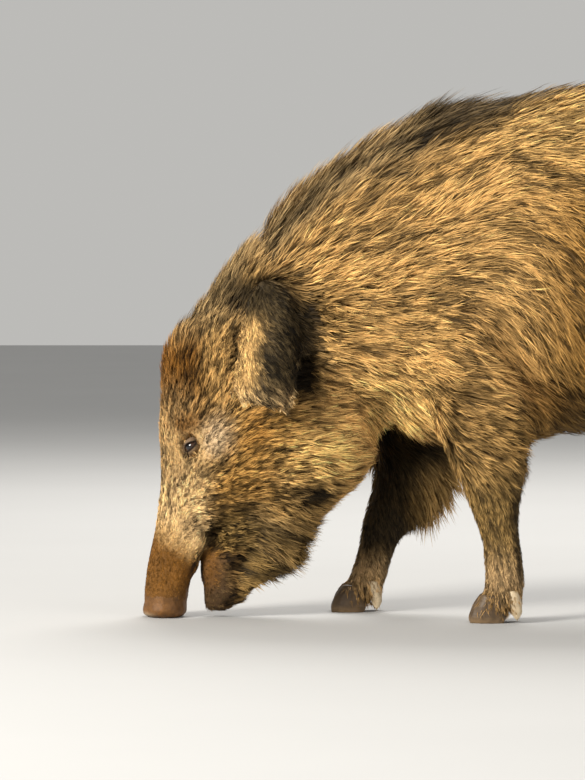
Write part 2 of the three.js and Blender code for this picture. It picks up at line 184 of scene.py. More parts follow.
def cad_arrays(names):
    """The vertices and triangles of these CAD nodes, and each triangle's place in names."""
    points, faces, owners = [], [], []
    count = 0
    for k, name in enumerate(names):
        co, tris = mesh_arrays(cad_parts[name].data)
        points.append(co)
        faces.append(tris + count)
        owners.append(np.full(len(tris), k))
        count += len(co)
    return np.concatenate(points), np.concatenate(faces), np.concatenate(owners)


def remeshed(name, names, voxel):
    """These CAD nodes fused into one mesh of small, even squares."""
    co, tris, _ = cad_arrays(names)
    rough = new_object(name, co, [tris])
    modifier = rough.modifiers.new("Remesh", "REMESH")
    modifier.mode = "VOXEL"
    modifier.voxel_size = voxel
    modifier.adaptivity = 0
    graph = bpy.context.evaluated_depsgraph_get()
    mesh = bpy.data.meshes.new_from_object(rough.evaluated_get(graph))
    bpy.data.objects.remove(rough)
    return mesh


# ---------- the skin's form
EYE_SUNK = 2 * MM  # the eyeball lies that much deeper than its CAD node, behind the lids
SLIT_TILT = math.radians(28)  # the slit rises towards the back
SLIT_HALF, SLIT_UP, SLIT_DOWN = 10, 3.2, 3.9  # mm from its middle to its corners and lids


class Eye:
    """Where an eye sits: its centre and its own directions out, along the slit and up across it."""

    def __init__(self, side):
        low, high = (np.array(corner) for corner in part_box(f"eye_{side}"))
        turn = SIDES[side]
        self.out = unit(np.array([0.8 * turn, -0.6, 0.02]))
        slit = np.array([0, math.cos(SLIT_TILT), math.sin(SLIT_TILT)])
        self.along = unit(slit - self.out * (slit @ self.out))
        self.up = np.cross(self.along, self.out) * turn
        if self.up[2] < 0:
            self.up = -self.up
        self.radius = (high - low)[0] / 2 - 0.8 * MM
        self.centre = (low + high) / 2 - self.out * EYE_SUNK

    def local(self, points):
        """Distances of points, in mm, along the slit, up across it, and out of the head."""
        return ((points - self.centre) @ axis / MM for axis in (self.along, self.up, self.out))


eyes = {side: Eye(side) for side in SIDES}


def refine(mesh):
    """Splits the mesh's edges in two as many times as face_detail says."""
    bm = bmesh.new()
    bm.from_mesh(mesh)
    for level in (1, 2, 3):
        points = np.array([v.co for v in bm.verts])
        fine = face_detail(points) >= level
        bm.verts.index_update()
        chosen = [e for e in bm.edges if fine[e.verts[0].index] and fine[e.verts[1].index]]
        bmesh.ops.subdivide_edges(bm, edges=chosen, cuts=1, use_grid_fill=True)
    bmesh.ops.triangulate(bm, faces=bm.faces)
    bm.to_mesh(mesh)
    bm.free()


def face_detail(points):
    """How often the skin's mesh is halved: once on the muzzle, up to three times at the eyes."""
    level = np.zeros(len(points), int)
    muzzle = (points[:, 1] < place(-335, 0)[1]) & (points[:, 2] < 150 * MM)
    level[muzzle] = 1
    for eye in eyes.values():
        gap = np.linalg.norm(points - eye.centre, axis=1)
        level[gap < 38 * MM] = 2
        level[gap < 19 * MM] = 3
    return level


def make_hull():
    """The coat's own outline as one smooth closed surface over all the solids."""
    mesh = remeshed("hull", FLESH + HORNS + EYES, 4.2 * MM)
    refine(mesh)
    surface = Surface(*mesh_arrays(mesh))
    bpy.data.meshes.remove(mesh)
    surface.relax(8, 0.5)
    return surface


skin = make_hull()


def find_zones():
    """How much each vertex belongs to each kind of CAD node, from 0 to 1 with soft borders."""
    names = FLESH + HORNS + EYES
    co, tris, owners = cad_arrays(names)
    tree = BVHTree.FromPolygons(co.tolist(), tris.tolist())
    found = np.array([tree.find_nearest(Vector(p))[2] for p in skin.co])
    nearest = owners[found]
    zones = {}
    for k, name in enumerate(names):
        kind = "horn" if name in HORNS else "eye" if name in EYES else name
        zones[kind] = zones.get(kind, 0) + (nearest == k).astype(float)
    soft = skin.spread(np.stack(list(zones.values()), axis=1), 12, 0.7)
    return dict(zip(zones, soft.T))


zone = find_zones()
zone["leg"] = sum(zone[f"leg_{leg}"] for leg in LEGS)
zone["ear"] = zone["ear_left"] + zone["ear_right"]
zone["body"] = zone["trunk"] + zone["neck"]

# Where the solids meet at a crease, flesh and hair run smoothly over it.
round_over = zone["body"] + zone["head"] * ramp(skin.co[:, 2], 0.2, 0.3)
round_over += zone["tail"] * ramp(skin.co[:, 2], 0.47, 0.52) * ramp(zone["tail"], 1, 0.75)
round_over = ramp(round_over, 0.4, 0.9)
skin.relax(45, (0.6 * round_over)[:, None])
haunch = ramp(skin.co[:, 1], *(place(y, 0)[1] for y in (340, 420)))
haunch *= ramp(skin.co[:, 2], 0.2, 0.25) * ramp(skin.co[:, 2], 0.4, 0.33) * (zone["leg"] + zone["body"])
skin.relax(90, (0.6 * haunch)[:, None])

# Each vertex's place on the coat's outline, in the millimetres used below.
SIDE = skin.co[:, 0] / MM
BACK = (skin.co[:, 1] - FOOT_Y) / MM
HIGH = skin.co[:, 2] / MM
facings = skin.normals()


def bumps(size, seed):
    """Smooth noise on the skin, with bumps of that many mm."""
    return noise(skin.co, size * MM, seed)


def near(y, z, wide, high, edge=0.5):
    """1 inside an ellipse of the side view and 0 well outside it, on both sides."""
    distance = np.hypot((BACK - y) / wide, (HIGH - z) / high)
    return ramp(distance, 1 + edge, 1 - edge)


def groove_in(x, y, start, end, wide):
    """A mask along the line from start to end in a plane, that tapers at both ends."""
    line = np.array(end, float) - start
    reach = np.clip(((x - start[0]) * line[0] + (y - start[1]) * line[1]) / (line @ line), 0, 1)
    gap = np.hypot(x - start[0] - reach * line[0], y - start[1] - reach * line[1])
    return np.exp(-((gap / wide) ** 2)) * np.sin(np.pi * np.clip(reach, 0.04, 0.96)) ** 0.5


def groove(start, end, wide):
    """The same along a line of the side view, from start to end (y, z)."""
    return groove_in(BACK, HIGH, start, end, wide)


TEAR = ((-412, 226), (-409, 200))  # the furrow below the front corner of the eye
LIP = ((-387, 96), (-374, 132))  # the closed part of the mouth


# ---------- the coat's make-up
# Every property of the coat is an array over the skin's vertices, laid on in layers.
none, black = np.zeros(len(SIDE)), np.zeros((len(SIDE), 3))
coat = {
    "depth": none,  # mm from the skin to the hair tips
    "length": none,  # mm
    "width": none,  # mm, of one blade at its root
    "flare": none,  # mm by which the hair tips stand above the coat's outline
    "thick": none,  # thousands of blades on a square metre
    "mottle": np.ones(len(SIDE)),  # how much the locks differ in shade
    "stray": none,  # degrees by which locks stray from the lie of the coat
    "root": black,
    "tip": black,
    "bare": none,  # 1 where the skin shows
    "skin": black,
}


def lay(mask, **values):
    """Gives the masked part of the coat these values."""
    for key, value in values.items():
        amount = mask if np.ndim(value) == 0 else np.asarray(mask)[:, None]
        coat[key] = coat[key] + amount * (np.asarray(value, float) - coat[key])


def hair(*thousandths):
    """The colours of a hair's root and of its tip."""
    rgb = np.array(thousandths) / 1000
    return {"root": rgb[:3], "tip": rgb[3:]}


TAN = hair(72, 38, 13, 600, 357, 122)
DUSKY = hair(30, 16, 6, 295, 156, 38)
OCHRE = hair(45, 22, 7, 270, 130, 34)
MANE = hair(16, 11, 7, 94, 63, 29)
GRIZZLED = hair(30, 21, 12, 360, 240, 105)
BROWN = hair(26, 11, 3, 215, 81, 7)
VELVET = hair(58, 24, 6, 235, 104, 18)
RUSSET = hair(50, 24, 7, 530, 290, 76)
STRAW = hair(110, 60, 20, 780, 490, 185)
# painted sunlight: very bright golden hair, laid where light falls and to lift shade
PAINTED_SUNLIGHT = hair(120, 66, 20, 920, 580, 200)
ASH = hair(130, 83, 38, 660, 430, 185)
BLOND = hair(175, 105, 46, 830, 560, 262)
PALE = hair(260, 180, 105, 560, 400, 225)
THROAT = hair(14, 9, 4, 270, 168, 55)
BLACK = hair(8, 6, 4, 40, 27, 12)
SHADOW = hair(3, 2, 1, 14, 9, 4)
SLATE = hair(9, 6, 3, 68, 47, 21)
SHANK = hair(26, 16, 7, 300, 185, 60)
PASTERN = hair(76, 46, 21, 460, 305, 145)
BARE_SNOUT = (0.135, 0.058, 0.014)
BARE_CHIN = (0.064, 0.03, 0.01)

body, jaw, ear, tail, horn = (zone[kind] for kind in ("body", "lower_jaw", "ear", "tail", "horn"))
topside = ramp(facings[:, 2] - facings[:, 1], 0.1, 0.7)  # faces up or forwards
ridge = np.exp(-((SIDE / (26 + 16 * ramp(BACK, 40, -40))) ** 2)) * topside
mane = ridge * ramp(HIGH, 395, 470) * ramp(BACK, 330, 120)
band = np.interp(BACK, [-400, -330, -260, -120, -20, 60, 200, 500], [50, 62, 74, 80, 58, 34, 24, 18])
band = band + 12 * bumps(40, 16)
mane_shade = ramp(np.abs(SIDE), 1.35 * band, 0.65 * band) * ramp(HIGH, 330, 395)
mane_shade *= topside * ramp(BACK, 620, 200)
# Over the top of the back the dark band is halved, so the painted sunlight there shows.
mane_shade *= np.interp(BACK, [-20, 60, 300], [1, 0.8, 0.6]) * (1 - 0.5 * near(95, 668, 70, 28))
# Where the body faces down: longer, thinner hair, painted black as shade.
underside_shade = ramp(-facings[:, 2], 0.35, 0.8) * body * ramp(BACK, 20, 110)

# the trunk and neck
lay(np.ones(len(SIDE)), depth=15, length=40, width=1.6, thick=195, stray=8, mottle=1.15, **TAN)
lay(ramp(BACK, 150, 60), width=1.45, thick=240)
# Painted light: bright golden hair on the sunlit jowl and on the shaded chest below the neck.
lay(near(-240, 205, 50, 46, 0.8) * 0.6 + near(-160, 275, 50, 38, 0.8) * 0.8, **PAINTED_SUNLIGHT)
# Painted sunlight on the top of the back.
lay(near(95, 655, 110, 56, 0.9) * 0.7, **PAINTED_SUNLIGHT)
# Painted shade: the flank behind the shoulder, which faces back, is darker.
lay(ramp(BACK, -20, 85) * ramp(HIGH, 650, 500) * 0.95, mottle=1.9, **DUSKY)
lay(ramp(BACK, 180, 420) * 0.5, **DUSKY)
# Painted shade in the crease behind the shoulder.
lay(groove((-58, 400), (80, 240), 26) * body * 0.7, **OCHRE)
lower_trunk = ramp(HIGH, 330, 240) * ramp(BACK, -40, 80) * ramp(BACK, 470, 380) * body
lay(lower_trunk, depth=18, length=46, **DUSKY)
# Painted shade: black hair on the body's underside, which faces down.
lay(underside_shade, depth=20, length=48, thick=140, **BLACK)
# Painted shade under the chest, between the forelegs.
lay(near(-88, 214, 52, 20) * body * 0.75, **BLACK)
lay(near(-20, 240, 90, 46) * body, depth=9, length=30)
lay(near(-20, 232, 90, 40) * body * 0.4, **SHANK)
lay(mane_shade, mottle=1.9, **MANE)
lay(groove((-175, 606), (-20, 653), 10) * 0.8, **BLACK)
lay(mane, depth=25, length=54, thick=210, **MANE)
lay(np.clip(mane_shade + mane, 0, 1) * ramp(BACK, -90, -190) * 0.8, **GRIZZLED)

# the head, from crown to snout
head = np.clip(zone["head"] + jaw + zone["eye"], 0, 1)
lay(head, depth=7, length=18, width=1, thick=560, stray=9, **TAN)
lay(head * near(-306, 222, 62, 60), depth=7.5, length=19, mottle=1.45, **RUSSET)
lay(head * near(-215, 215, 55, 70), depth=12, length=32, width=1.4, thick=300, stray=8, **TAN)
wavy_high = HIGH + 22 * bumps(34, 17)
cap = ramp(BACK, -366, -410) * ramp(wavy_high, 228, 282) * ramp(wavy_high, 405, 340) * 0.9
lay(head * cap, depth=9, length=24, thick=420, mottle=1.6, **BROWN)
lay(head * near(-408, 392, 40, 40, 0.7) * 0.6, **GRIZZLED)
lay(head * near(-372, 330, 20, 44) * 0.8, **TAN)
lay(head * mane_shade, depth=14, length=36, thick=360, **GRIZZLED)
not_ear = 1 - ear
lay(near(-378, 416, 40, 44) * 0.7, **GRIZZLED)
lay(not_ear * near(-326, 410, 52, 23), depth=16, length=30, **BLACK)
# The hollow behind the ear: longer hair, painted near black as the shadow the ear casts.
shelter = ramp(BACK, -334, -316) * ramp(BACK, -231, -252) * ramp(HIGH, 270, 292) * ramp(HIGH, 436, 412)
lay(not_ear * shelter, depth=20, length=27)
lay(shelter, mottle=1, **SHADOW)
lay(head * near(-352, 342, 16, 38), length=9)
# Painted shade in the crevice between the ear's front edge and the head.
lay(head * near(-345, 342, 8, 36), depth=11, **BLACK)
# Painted sunlight on the jowl.
lay(head * near(-242, 208, 46, 40, 0.8) * 0.8, **PAINTED_SUNLIGHT)
lay(head * near(-425, 190, 42, 85), depth=2.6, length=9, width=0.75, thick=950, stray=13, mottle=1.5, **ASH)
muzzle = head * near(-412, 132, 40, 58)
lay(muzzle, depth=3, length=12, width=0.8, thick=850, stray=16, mottle=1.35, **BLOND)
lay(head * near(-352, 150, 30, 40), depth=4, length=13, width=0.9, thick=700, stray=12, **RUSSET)
lay(head * near(-404, 250, 26, 11), depth=2, length=8, width=0.75, thick=900, **OCHRE)
lay(head * near(-386, 223, 24, 24), depth=1.6, length=6, width=0.6, thick=900, stray=8, mottle=0.9, **ASH)
lay(head * near(-369, 236, 17, 26), depth=2, length=7.5, width=0.7, thick=900, stray=8, mottle=1.1, **PALE)
lay(head * near(-420, 212, 14, 34), length=8, mottle=0.6)
bearded = np.clip(jaw + head * near(-298, 100, 56, 46), 0, 1)
lay(bearded, depth=13, length=38, width=1.3, thick=340, stray=11, mottle=1.8, **THROAT)
lay(head * near(-254, 146, 26, 18) * 0.6, depth=13, length=36, width=1.4, thick=300, stray=10, **THROAT)
lay(head * groove((-306, 192), (-264, 152), 11) * 0.7, **STRAW)
lay(head * near(-252, 160, 27, 13), length=28, mottle=1.5, **BLACK)
lay(head * near(-324, 243, 12, 26) * 0.5, **BROWN)
dark_streaks = groove((-374, 150), (-284, 106), 13) + groove((-356, 116), (-280, 70), 7)
dark_streaks += groove((-322, 134), (-256, 100), 6)
lay(np.clip(dark_streaks, 0, 1) * head * 0.8, mottle=1.6, **MANE)
lay(head * (groove((-345, 152), (-262, 120), 6) + groove((-330, 104), (-276, 84), 5)) * 0.6, **STRAW)
lay(head * near(-355, 112, 22, 24), depth=5, length=16, thick=600, **THROAT)

# the bare snout and chin
ragged = 7 * bumps(16, 8) + 3 * bumps(6, 9)
snout_side = head * ramp(BACK, -388, -394)
snout_top = 62 + 0.8 * np.clip(-396 - BACK, 0, 46)  # where hair takes over, lowest at the lips
above_snout = HIGH + ragged - snout_top
lay(snout_side * ramp(above_snout, 56, 26), depth=1.8, length=7, mottle=0.7)
lay(snout_side * ramp(above_snout, 38, 10) * 0.45, **RUSSET)
velvet = snout_side * ramp(above_snout, 20, -8)
lay(velvet, depth=1.3, length=4.5, width=0.65, thick=1200, mottle=0.7, **VELVET)
snout = np.clip(zone["snout_disc"] + snout_side * ramp(HIGH + 1.6 * ragged, 50, 22), 0, 1)
chin = jaw * ramp(HIGH + ragged, 98, 76) * ramp(BACK + ragged, -336, -358)
lay(snout, depth=0.2, length=4, width=0.5, thick=100, bare=1, skin=BARE_SNOUT, **VELVET)
lay(chin, depth=1, length=6, width=0.6, thick=620, bare=0.5, skin=BARE_CHIN, **VELVET)
lay(chin * np.clip(ramp(HIGH, 54, 24) + ramp(BACK, -378, -356), 0, 1) * 0.85, **MANE)
lay(jaw * ramp(HIGH, 62, 34) * (1 - chin), depth=5, length=15, thick=480)
lips = head * near(-390, 76, 13, 32, 0.35)
lay(lips, depth=-4)
# Painted shade in the tear furrow.
lay(head * groove(*TEAR, 2.6), thick=300, **BLACK)
# Painted shade along the lip line at the mouth's corner.
lay(head * groove((-386, 84), (-368, 146), 4.5), length=7, **BLACK)

# the legs, ears and tail
shank = np.clip(zone["leg"] + horn, 0, 1)
low_leg = shank * ramp(HIGH, 300, 220)
lay(low_leg, depth=7, length=24, width=1.3, thick=300, stray=8, mottle=0.9, **SHANK)
lay(shank * ramp(HIGH, 200, 130), depth=3, length=12, width=1, thick=480, stray=9, **SHANK)
lay(shank * ramp(HIGH, 115, 60), depth=2.6, length=10, width=0.9, thick=520, **PASTERN)
# Painted shade on the back sides of the lower legs.
lay(low_leg * ramp(facings[:, 1], 0.3, 0.85) * ramp(HIGH, 40, 70) * 0.85, **MANE)
lay(near(-25, 205, 60, 26) * 0.3, **TAN)
# Painted shade: black hair on the legs' inner sides and the body's lower inner faces, where little light
# reaches.
inner = ramp(-facings[:, 0] * np.sign(SIDE), 0.1, 0.6)
lay(np.clip(shank + body * ramp(HIGH, 390, 300), 0, 1) * inner * ramp(HIGH, 60, 100), **BLACK)
lay(horn, depth=3.2)
lay(ramp(horn, 0.05, 0.25), length=13, flare=3.2, thick=640)
lay(ramp(horn, 0.05, 0.5) * 0.75, **DUSKY)
lay(ramp(horn, 0.7, 0.9), thick=0)
far_fringe = near(-72, 160, 44, 52) * ramp(SIDE, -20, -50) * shank
lay(far_fringe, depth=22, length=50, width=1.5, thick=260, stray=8, **THROAT)
# Paler strands on the lower fringe, brightened as painted light against the shade there.
lay(far_fringe * 0.35, **STRAW)
tail_root = ramp(HIGH, 455, 520)
lay(tail, depth=5, length=22, width=1.2, thick=340, stray=8, **MANE)
lay(tail * tail_root, depth=5, length=30)
lay(tail * tail_root * 0.5, **DUSKY)
lay(tail * ramp(HIGH, 395, 360), depth=9, length=55, **BLACK)
ear_middle = -290 - 0.15 * (420 - HIGH)
lay(ear, depth=2.6, length=15, width=1, thick=480, stray=10, **SLATE)
across_ear = BACK - ear_middle
lay(ear * ramp(across_ear + 0.8 * ragged, -8, -22) * ramp(HIGH, 408, 378), length=11, **STRAW)
pale_tip = 0.35 + 0.5 * ramp(across_ear, -4, -24) + 0.25 * ramp(across_ear, 6, 24)
lay(ear * ramp(HIGH, 312, 296) * pale_tip, **BLOND)
swept = ramp(across_ear, -24, 0)  # behind its pale front edge the ear's hair is swept back
lay(ear, mottle=0.7)
lay(ear * swept, mottle=1.5)

for key in ("depth", "length", "thick", "root", "tip"):
    coat[key] = skin.spread(coat[key], 6)
# Hair can't hang from the tail's very end, where it would stick out backwards.
lay(tail * ramp(-facings[:, 2], 0.1, 0.5), length=10)

for eye in eyes.values():
    along, up, out = eye.local(skin.co)
    lay(ramp(np.hypot(along / 13, (up - 0.5) / 8.5), 1.25, 0.85) * (out > 0), thick=0)


# ---------- the lie of the coat
# The comb's strokes: where (y, z), and how many degrees above straight back the hair points there.
STROKES = [
    # the mane and the neck
    (-203, 567, 45), (-178, 618, 40), (-133, 643, 26), (-83, 653, 20), (-6, 664, 10), (70, 677, 2),
    (-203, 541, 30), (-159, 586, 8), (-95, 573, 15), (-184, 503, 10), (-133, 516, 20), (-83, 529, 34),
    (-57, 554, 30), (-32, 567, 18), (-6, 573, 2), (19, 560, -20), (44, 605, -8), (-248, 554, 42),
    (-292, 503, 44), (-337, 452, 48), (-260, 452, 18), (-248, 389, -3), (-197, 440, 8),
    # the shoulder and the ribs behind it
    (70, 554, -25), (89, 510, -42), (95, 465, -54), (-108, 465, 12), (-57, 490, 8), (-19, 490, -8),
    (6, 465, -30), (44, 452, -48), (76, 414, -57), (-133, 414, 5), (-83, 427, 0), (-45, 414, -18),
    (-19, 376, -42), (19, 376, -54), (57, 364, -57), (-203, 383, 3), (-133, 325, 4), (-83, 313, 0),
    (-32, 325, -14), (-6, 294, -25), (70, 287, -50), (89, 249, -50), (-184, 313, -20), (-160, 270, -42),
    (-83, 249, -8), (-6, 230, -22),
    # the flank, haunch and rump
    (200, 650, -6), (200, 570, -24), (200, 460, -44), (200, 350, -50), (200, 262, -34),
    (350, 625, -12), (350, 540, -28), (350, 440, -42), (350, 330, -44), (350, 270, -26),
    (470, 590, -22), (470, 490, -38), (470, 390, -52), (470, 320, -60), (560, 530, -36),
    (560, 440, -60), (560, 340, -74), (640, 500, -58), (650, 420, -76), (640, 340, -84),
    # the face
    (-426, 338, 74), (-400, 364, 62), (-375, 402, 54), (-368, 345, 64), (-356, 300, 58), (-400, 270, 64),
    (-368, 272, 48), (-343, 249, 34), (-311, 249, 18), (-273, 243, 5), (-235, 237, -2), (-286, 290, 8),
    (-248, 313, -8), (-311, 211, 22), (-343, 186, 34), (-286, 186, 6), (-248, 186, -10), (-210, 186, -16),
    (-260, 154, -28), (-280, 126, -40), (-311, 109, -34), (-299, 78, -34), (-330, 68, -24), (-349, 109, 6),
    (-362, 135, 10), (-432, 198, 84), (-416, 164, 50), (-394, 138, 20), (-434, 130, 76), (-426, 109, 72),
    (-404, 98, 46), (-438, 46, 88), (-381, 198, 50), (-366, 160, 24), (-388, 165, 28), (-362, 50, -12),
]


def comb():
    """The way the hair points at each vertex, lying in the skin."""
    total = np.zeros((len(SIDE), 2))
    for y, z, rise in STROKES:
        gap = (BACK - y) ** 2 + (HIGH - z) ** 2
        weight = 1 / (gap + 14**2) ** 2
        total += weight[:, None] * [math.cos(math.radians(rise)), math.sin(math.radians(rise))]
    total = unit(total)
    lie = np.stack([none, *total.T], axis=1)
    aslant = 0.22 + ramp(HIGH, 140, 215) * (1.5 * zone["leg_fore_left"] + 0.5 * zone["leg_fore_right"])
    down = np.stack([none, aslant, none - 1], axis=1)
    lie += np.clip(low_leg + tail * (1 - tail_root), 0, 1)[:, None] * (down - lie)
    for side, turn in SIDES.items():
        one_ear = zone[f"ear_{side}"][:, None]
        hang = np.stack([none + 0.5 * turn, 0.3 + 0.7 * swept, -1 + 0.2 * swept], axis=1)
        lie += one_ear * (hang - lie)
    return lie


def part_round_eyes(lie):
    """Turns the hair next to an eye so that it points away from the lids."""
    for eye in eyes.values():
        away = skin.co - eye.centre
        out = away @ eye.out
        away = away - out[:, None] * eye.out
        gap = np.linalg.norm(away, axis=1)
        share = 0.75 * ramp(gap, 24 * MM, 12 * MM) * ramp(gap, 0, 5 * MM) * (out > 0)
        lie = lie + share[:, None] * (unit(away) - lie)
    return lie


def in_plane(vectors, normals):
    """vectors laid down on the planes that have these normals."""
    return unit(vectors - normals * np.sum(vectors * normals, axis=1, keepdims=True))


lie = part_round_eyes(comb())


# ---------- sculpting the skin
def push(amount):
    """Moves the skin out along its normals by these millimetres."""
    skin.co = skin.co + skin.normals() * (amount * MM)[:, None]


def shape_body():
    """Takes the coat's depth off the outline, and shows the muscles and folds under it."""
    push(-coat["depth"])
    skin.relax(3, (0.5 * ramp(coat["depth"], 4, 9))[:, None])
    flank = np.abs(facings[:, 0])
    relief = -9 * groove((-58, 389), (74, 250), 17)  # behind the shoulder and the upper arm
    relief += 7 * near(-60, 345, 60, 70, 0.6)  # the upper arm
    relief += 5 * near(-70, 520, 60, 60, 0.7)  # the shoulder blade
    relief -= 5 * groove((-10, 560), (60, 440), 22)
    relief -= 6 * groove((440, 470), (400, 300), 24)  # in front of the thigh
    relief += 4 * near(530, 430, 80, 80, 0.6)
    relief -= 8 * near(-258, 350, 26, 70, 0.6) * zone["neck"]  # the hollow behind the ear
    relief += 4 * near(-395, 262, 20, 14, 0.6) * head  # the brow
    relief += 3 * near(-345, 205, 40, 30, 0.7) * head  # the cheekbone
    relief -= 2.5 * near(-410, 150, 26, 40, 0.6) * head * flank
    push(relief * np.where(head > 0.5, 1, flank))
    wobble = bumps(46, 3) + 0.6 * bumps(22, 4)
    push(1.6 * wobble * body)


def bump_at(value, middle, wide):
    """A soft rise of 1 where value is near middle."""
    return np.exp(-(((value - middle) / wide) ** 2))


def shape_eye(eye):
    """Thick lids round the eyeball, with creases above and below."""
    along, up, out = eye.local(skin.co)
    radius = eye.radius / MM
    lens = np.sqrt(np.clip(1 - (along / (SLIT_HALF * 1.12)) ** 2, 0.02, 1))
    edge = np.where(up > 0, SLIT_UP, SLIT_DOWN) * lens
    opened = np.hypot(along / SLIT_HALF, up / edge)
    flat = np.hypot(along, up)
    facing = ramp(out, -8, -3)
    taper = ramp(np.abs(along), 17, 6)
    lid = radius + 1.1 + 1.4 * bump_at(up, 7.5, 3.2) * taper + 0.7 * bump_at(up, -7.5, 2.5) * taper
    cover = np.sqrt(np.clip(lid**2 - flat**2, 0.05, None))
    cover = np.where(flat < lid * 0.98, cover, np.minimum(out, cover))
    inside = np.sqrt(np.clip((radius - 3.5) ** 2 - flat**2, 0, None))
    goal = inside + ramp(opened, 0.8, 1.02) * (cover - inside)
    move = ramp(flat, 18, 10.5) * facing * (goal - out)
    creases = 1.9 * bump_at(up - 0.1 * along, 11.8, 1.2) + 1.5 * bump_at(up - 0.05 * along, -11, 1.1)
    creases = creases * taper + 1.2 * bump_at(up + 0.12 * along, -15, 1.2) * ramp(np.abs(along), 15, 6)
    corner = groove_in(along, up, (8, 1.2), (19, 4.5), 1.5) + groove_in(along, up, (-8, -1), (-12, -5), 1.5)
    fans = sum(groove_in(along, up, (12, -1 - 4 * k), (19, -6 - 5 * k), 1) for k in range(3))
    move = move - (creases + 2 * corner + 0.9 * fans) * facing * ramp(flat, 30, 22)
    skin.co = skin.co + (move * MM)[:, None] * eye.out


def shape_face():
    """The furrows, lips and wrinkles of the bare and short-haired parts."""
    relief = 0
    furrows = [
        (2.8, *TEAR, 2.2), (1, (-402, 214), (-398, 190), 2), (3, *LIP, 3),
        (1.1, (-415, 244), (-419, 186), 2), (1.1, (-422, 244), (-426, 186), 2),
        (6, (-341, 392), (-345, 305), 6), (-1.2, (-397, 92), (-388, 118), 5),
    ]
    for depth, start, end, wide in furrows:
        relief -= depth * groove(start, end, wide) * head
    wavy = HIGH + 5 * bumps(24, 5) + 2.5 * bumps(9, 10)
    folds = np.sin(wavy * 2 * np.pi / 7.5) * (0.6 + 0.4 * bumps(20, 13))
    relief += 0.3 * folds * snout * ramp(HIGH, 24, 36) * ramp(BACK, -405, -425)
    relief += 0.45 * bumps(5, 6) * snout + 0.5 * bumps(11, 14) * snout
    relief += 0.6 * bumps(7, 7) * chin + 0.6 * bumps(14, 15) * chin
    relief += 0.6 * ramp(HIGH, 16, 9) * ramp(HIGH, 1, 5) * snout  # the disc's rolled rim
    relief -= 0.4 * bump_at(HIGH, 20, 3.5) * snout
    push(relief)


shape_body()
for eye in eyes.values():
    shape_eye(eye)
shape_face()
skin.co[:, 2] = np.maximum(skin.co[:, 2], 0.2 * MM)
normals = skin.normals()
lie = in_plane(lie, normals)
for _ in range(4):
    lie = in_plane(skin.spread(lie, 2), normals)


# ---------- materials
def material(name, roughness, specular=0.5, grain=None, bump=None, coat_weight=0):
    """A material whose colour is the mesh's own, broken up by a grain of (size, strength), with a
    fine bump of (size, depth in metres)."""
    made = bpy.data.materials.new(name)
    made.use_nodes = True
    nodes, links = made.node_tree.nodes, made.node_tree.links

    def node(kind, settings):
        """A new node, or the shader, with these numbers or other nodes' outputs on its inputs."""
        one = nodes.get(kind) or nodes.new("ShaderNode" + kind)
        for key, value in settings.items():
            if isinstance(value, bpy.types.NodeSocket):
                links.new(value, one.inputs[key])
            else:
                one.inputs[key].default_value = value
        return one

    colour = node("Attribute", {})
    colour.attribute_name = "Col"
    source = colour.outputs["Color"]
    coordinates = node("TexCoord", {}).outputs["Object"]
    if grain:
        size, strength = grain
        pattern = node("TexNoise", {"Vector": coordinates, "Scale": 1 / size, "Detail": 4}).outputs["Fac"]
        ends = {"From Min": 0.3, "From Max": 0.7, "To Min": 1 - strength, "To Max": 1 + strength}
        level = node("MapRange", {"Value": pattern, **ends}).outputs["Result"]
        scale = node("VectorMath", {0: source})
        scale.operation = "SCALE"
        links.new(level, scale.inputs["Scale"])
        source = scale.outputs["Vector"]
    surface = {"Roughness": roughness, "Specular IOR Level": specular, "Coat Weight": coat_weight}
    shader = node("Principled BSDF", {"Base Color": source, **surface})
    if bump:
        size, depth = bump
        pores = node("TexVoronoi", {"Vector": coordinates, "Scale": 1 / size}).outputs["Distance"]
        relief = node("Bump", {"Height": pores, "Distance": depth, "Strength": 0.8})
        links.new(relief.outputs["Normal"], shader.inputs["Normal"])
    return made


hair_finish = material("bristles", 0.6, specular=0.12, grain=(4 * MM, 0.12))
hide_finish = material("hide", 0.85, specular=0.2, grain=(3 * MM, 0.2), bump=(1.6 * MM, 0.6 * MM))
snout_finish = material("bare_snout", 0.55, specular=0.28, grain=(5 * MM, 0.25), bump=(1.4 * MM, 0.35 * MM))
horn_finish = material("horn", 0.5, specular=0.35, grain=(6 * MM, 0.18), bump=(2.5 * MM, 0.15 * MM))
eye_finish = material("eyeball", 0.06, specular=0.5, grain=(0.8 * MM, 0.15), coat_weight=0.3)


# ---------- the skin as a piece
def on_faces(values):
    return values[skin.tris].mean(axis=1)


def paint_skin(colours, mask, colour):
    """Colours the masked part of the skin, in place."""
    colours += mask[:, None] * (np.array(colour) - colours)


